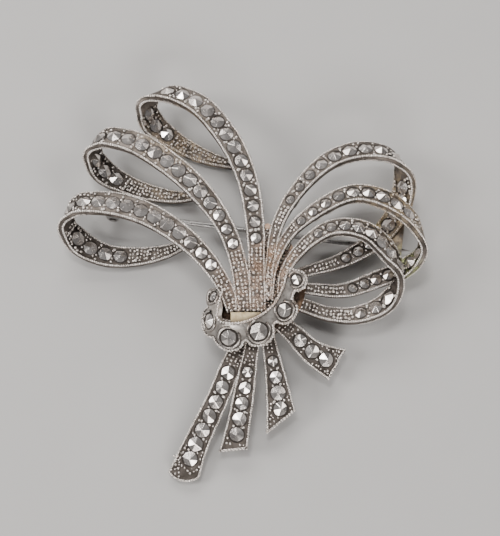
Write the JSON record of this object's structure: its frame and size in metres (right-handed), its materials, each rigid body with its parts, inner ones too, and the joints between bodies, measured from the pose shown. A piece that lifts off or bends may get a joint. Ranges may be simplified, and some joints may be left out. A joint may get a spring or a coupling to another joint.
{
  "type": "brooch",
  "caption": "Spray-ribbon brooch with looped, milgrain-edged ribbons of rose-cut marcasites, a scalloped collar, four tails, and a hinged pin with a safety catch behind.",
  "frame": {"origin": "centre of the bounding box's footprint, on the surface that the brooch lies on", "axes": "+Z is the face of the brooch, up; +Y points to the top of the spray; +X points to the right of the spray as seen from the front"},
  "size_m": [0.0552, 0.06, 0.0085],
  "materials": {
    "cast_silver": "aged cast silver, half matte, darkened in the recesses",
    "marcasite": "polished grey pyrite facets",
    "patina_brass": "brown-grey copper patina",
    "solder": "dull yellowish solder",
    "pin_steel": "worn plated steel"
  },
  "bodies": {
    "brooch": {"left_lower_loop": "cast_silver", "left_middle_loop": "cast_silver", "left_upper_loop": "cast_silver", "right_upper_loop": "cast_silver", "right_middle_loop": "cast_silver", "right_lower_loop": "cast_silver", "tail_1": "cast_silver", "tail_2": "cast_silver", "tail_3": "cast_silver", "tail_4": "cast_silver", "collar": "cast_silver", "left_lower_loop_stones": "marcasite", "left_middle_loop_stones": "marcasite", "left_upper_loop_stones": "marcasite", "right_upper_loop_stones": "marcasite", "right_middle_loop_stones": "marcasite", "right_lower_loop_stones": "marcasite", "tail_1_stones": "marcasite", "tail_2_stones": "marcasite", "tail_3_stones": "marcasite", "tail_4_stones": "marcasite", "collar_stones": "marcasite", "throat_plate": "patina_brass", "solder_block": "solder", "hub": "patina_brass", "hinge_ears": "pin_steel", "hinge_post": "pin_steel", "hinge_rivet": "pin_steel", "catch_housing": "pin_steel", "catch_strap": "cast_silver"},
    "pin": {"pin_stem": "pin_steel"},
    "roller": {"catch_roller": "pin_steel"}
  },
  "joints": [
    {"name": "pin_hinge", "type": "hinge", "parent": "brooch", "child": "pin", "pos_m": [-0.0198, 0.0104, 0.0014], "axis": [0.1305, 0.9914, 0], "range_deg": [0, 90]},
    {"name": "catch_turn", "type": "hinge", "parent": "brooch", "child": "roller", "pos_m": [0.02343, 0.00471, 0.0014], "axis": [-0.9914, 0.1305, 0], "range_deg": [0, 70]}
  ]
}
